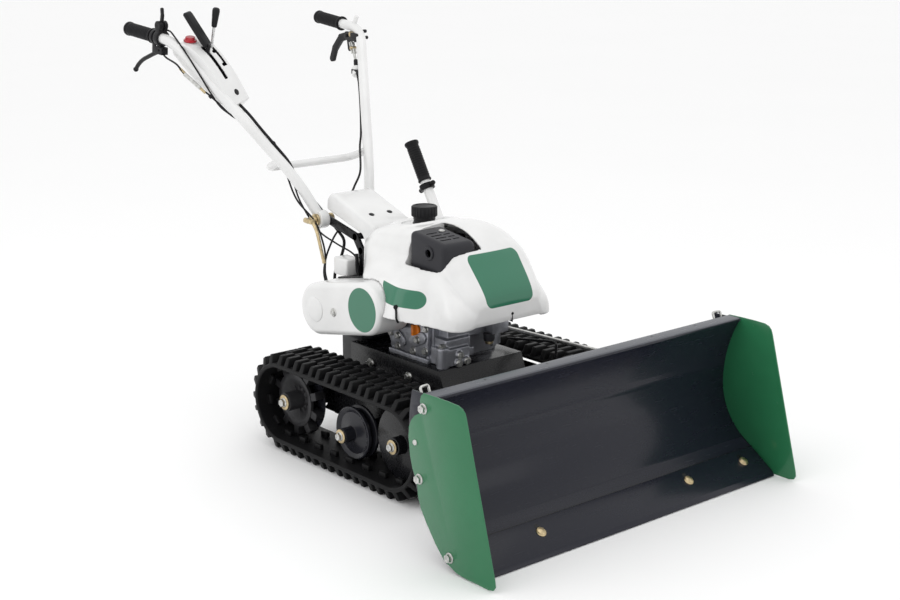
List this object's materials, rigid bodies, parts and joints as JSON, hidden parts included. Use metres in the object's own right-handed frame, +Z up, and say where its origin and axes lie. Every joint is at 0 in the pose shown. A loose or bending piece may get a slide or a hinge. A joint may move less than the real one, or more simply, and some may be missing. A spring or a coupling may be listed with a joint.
{
  "type": "tracked snow dozer",
  "caption": "Walk-behind crawler snow dozer: engine under a hood between rubber tracks, a curved lifting blade in front and a bent handlebar with control levers behind.",
  "frame": {"origin": "centre of the overall box at ground level", "axes": "+Y to the rear, towards the operator; +X to the operator's left; +Z up"},
  "size_m": [0.917, 1.5517, 0.998],
  "materials": {
    "white_paint": "gloss",
    "white_plastic": "gloss",
    "green_paint": "gloss",
    "blade_paint": "gloss",
    "black_paint": "gloss",
    "black_plastic": "satin",
    "rubber": "matte",
    "cast_metal": "cast",
    "gear_case": "cast",
    "zinc": "zinc plated",
    "yellow_zinc": "yellow zinc plated",
    "red_plastic": "gloss",
    "orange_plastic": "gloss"
  },
  "bodies": {
    "machine": {"chassis_frame": "black_paint", "transmission_case": "gear_case", "track_frame_right": "black_paint", "track_frame_left": "black_paint", "track_belt_right": "rubber", "track_belt_left": "rubber", "engine_crankcase": "cast_metal", "engine_cylinder": "cast_metal", "recoil_housing": "black_plastic", "fuel_tank": "black_plastic", "carburettor": "cast_metal", "muffler": "gear_case", "muffler_guard": "black_plastic", "hood": "white_plastic", "rear_hood": "white_plastic", "belt_cover": "white_plastic", "belt_plate": "black_paint", "drive_belt": "rubber", "handle_bracket": "black_paint", "lower_cables": "black_plastic", "frame_bolts": "zinc", "cover_screws": "zinc"},
    "fuel_cap": {"fuel_cap": "black_plastic"},
    "oil_cap": {"oil_cap": "orange_plastic"},
    "crank_pulley": {"crank_pulley": "zinc"},
    "driven_pulley": {"driven_pulley": "zinc"},
    "sprocket_right": {"sprocket_right": "gear_case"},
    "sprocket_left": {"sprocket_left": "gear_case"},
    "idler_right": {"idler_right": "black_paint"},
    "idler_left": {"idler_left": "black_paint"},
    "roller_right": {"roller_right": "black_plastic"},
    "roller_left": {"roller_left": "black_plastic"},
    "handlebar": {"handle_tube_right": "white_paint", "handle_tube_left": "white_paint", "crossbar": "white_paint", "grip_right": "rubber", "grip_left": "rubber", "console": "white_plastic", "throttle_housing": "black_plastic", "side_clutch_bracket": "black_plastic", "clutch_bracket": "black_paint", "control_cables": "black_plastic"},
    "throttle_lever": {"throttle_lever": "black_plastic"},
    "side_clutch_lever": {"side_clutch_lever": "black_plastic"},
    "clutch_lever": {"clutch_lever": "black_plastic"},
    "speed_lever": {"speed_lever": "black_plastic"},
    "shift_lever": {"shift_lever": "zinc"},
    "stop_button": {"stop_button": "red_plastic"},
    "handle_clamp_right": {"handle_clamp_right": "yellow_zinc"},
    "handle_clamp_left": {"handle_clamp_left": "yellow_zinc"},
    "lift_lever": {"lift_lever": "white_paint", "lift_grip": "rubber"},
    "lift_rod": {"lift_rod": "zinc"},
    "blade": {"mouldboard": "blade_paint", "cutting_edge": "blade_paint", "side_plate_right": "green_paint", "side_plate_left": "green_paint", "push_frame": "black_paint", "blade_bolts": "zinc"}
  },
  "joints": [
    {"name": "sprocket_right_spin", "type": "hinge", "parent": "machine", "child": "sprocket_right", "pos_m": [-0.246, 0.13306, 0.117], "axis": [1, 0, 0], "continuous": true},
    {"name": "idler_right_spin", "type": "hinge", "parent": "machine", "child": "idler_right", "pos_m": [-0.246, -0.27106, 0.117], "axis": [1, 0, 0], "continuous": true},
    {"name": "roller_right_spin", "type": "hinge", "parent": "machine", "child": "roller_right", "pos_m": [-0.246, -0.087, 0.0925], "axis": [1, 0, 0], "continuous": true},
    {"name": "sprocket_left_spin", "type": "hinge", "parent": "machine", "child": "sprocket_left", "pos_m": [0.246, 0.13306, 0.117], "axis": [1, 0, 0], "continuous": true},
    {"name": "idler_left_spin", "type": "hinge", "parent": "machine", "child": "idler_left", "pos_m": [0.246, -0.27106, 0.117], "axis": [1, 0, 0], "continuous": true},
    {"name": "roller_left_spin", "type": "hinge", "parent": "machine", "child": "roller_left", "pos_m": [0.246, -0.087, 0.0925], "axis": [1, 0, 0], "continuous": true},
    {"name": "driven_pulley_spin", "type": "hinge", "parent": "machine", "child": "driven_pulley", "pos_m": [-0.184, 0.11, 0.333], "axis": [1, 0, 0], "continuous": true},
    {"name": "crank_pulley_spin", "type": "hinge", "parent": "machine", "child": "crank_pulley", "pos_m": [-0.184, -0.068, 0.367], "axis": [1, 0, 0], "continuous": true},
    {"name": "blade_lift", "type": "hinge", "parent": "machine", "child": "blade", "pos_m": [0, -0.23, 0.117], "axis": [-1, 0, 0], "range_deg": [0, 14]},
    {"name": "lift_lever_swing", "type": "hinge", "parent": "machine", "child": "lift_lever", "pos_m": [0.16, -0.07, 0.195], "axis": [-1, 0, 0], "range_deg": [0, 35.5]},
    {"name": "lift_rod_swing", "type": "hinge", "parent": "lift_lever", "child": "lift_rod", "pos_m": [0.172, -0.02783, 0.26532], "axis": [-1, 0, 0], "range_deg": [-24, 1]},
    {"name": "handlebar_tilt", "type": "hinge", "parent": "machine", "child": "handlebar", "pos_m": [0, 0.276, 0.501], "axis": [1, 0, 0], "range_deg": [-12, 12]},
    {"name": "handle_clamp_right_turn", "type": "hinge", "parent": "machine", "child": "handle_clamp_right", "pos_m": [-0.11, 0.276, 0.501], "axis": [1, 0, 0], "range_deg": [-60, 60]},
    {"name": "handle_clamp_left_turn", "type": "hinge", "parent": "machine", "child": "handle_clamp_left", "pos_m": [0.11, 0.276, 0.501], "axis": [1, 0, 0], "range_deg": [-60, 60]},
    {"name": "throttle_swing", "type": "hinge", "parent": "handlebar", "child": "throttle_lever", "pos_m": [-0.28511, 0.62674, 0.95317], "axis": [0.9991, 0.0416, 0], "range_deg": [-25, 25]},
    {"name": "side_clutch_squeeze", "type": "hinge", "parent": "handlebar", "child": "side_clutch_lever", "pos_m": [-0.28519, 0.62857, 0.89406], "axis": [0.9991, 0.0416, 0], "range_deg": [0, 20], "stiffness_Nm_per_rad": 1.5},
    {"name": "clutch_squeeze", "type": "hinge", "parent": "handlebar", "child": "clutch_lever", "pos_m": [0.268, 0.606, 0.9], "axis": [1, 0, 0], "range_deg": [0, 26], "stiffness_Nm_per_rad": 2},
    {"name": "speed_lever_swing", "type": "hinge", "parent": "handlebar", "child": "speed_lever", "pos_m": [-0.21939, 0.55063, 0.84076], "axis": [0.9016, 0.3991, 0.1671], "range_deg": [0, 56]},
    {"name": "shift_lever_swing", "type": "hinge", "parent": "handlebar", "child": "shift_lever", "pos_m": [-0.19595, 0.56101, 0.8451], "axis": [0.9016, 0.3991, 0.1671], "range_deg": [0, 22]},
    {"name": "stop_button_press", "type": "slide", "parent": "handlebar", "child": "stop_button", "axis": [0.0862, 0.2127, -0.9733], "range_m": [0, 0.004], "stiffness_N_per_m": 600, "springref_m": -0.002},
    {"name": "fuel_cap_turn", "type": "hinge", "parent": "machine", "child": "fuel_cap", "pos_m": [0, -0.028, 0.538], "axis": [0, 0, 1], "range_deg": [0, 90]},
    {"name": "oil_cap_turn", "type": "hinge", "parent": "machine", "child": "oil_cap", "pos_m": [-0.095, -0.127, 0.315], "axis": [-1, 0, 0], "range_deg": [0, 180]}
  ],
  "couplings": [
    {"joint": "idler_right_spin", "follows": "sprocket_right_spin", "ratio": 1},
    {"joint": "roller_right_spin", "follows": "sprocket_right_spin", "ratio": 1.4098},
    {"joint": "idler_left_spin", "follows": "sprocket_left_spin", "ratio": 1},
    {"joint": "roller_left_spin", "follows": "sprocket_left_spin", "ratio": 1.4098},
    {"joint": "crank_pulley_spin", "follows": "driven_pulley_spin", "ratio": 1.2941},
    {"joint": "lift_lever_swing", "follows": "blade_lift", "ratio": 2.5},
    {"joint": "lift_rod_swing", "follows": "blade_lift", "ratio": -1.636}
  ]
}
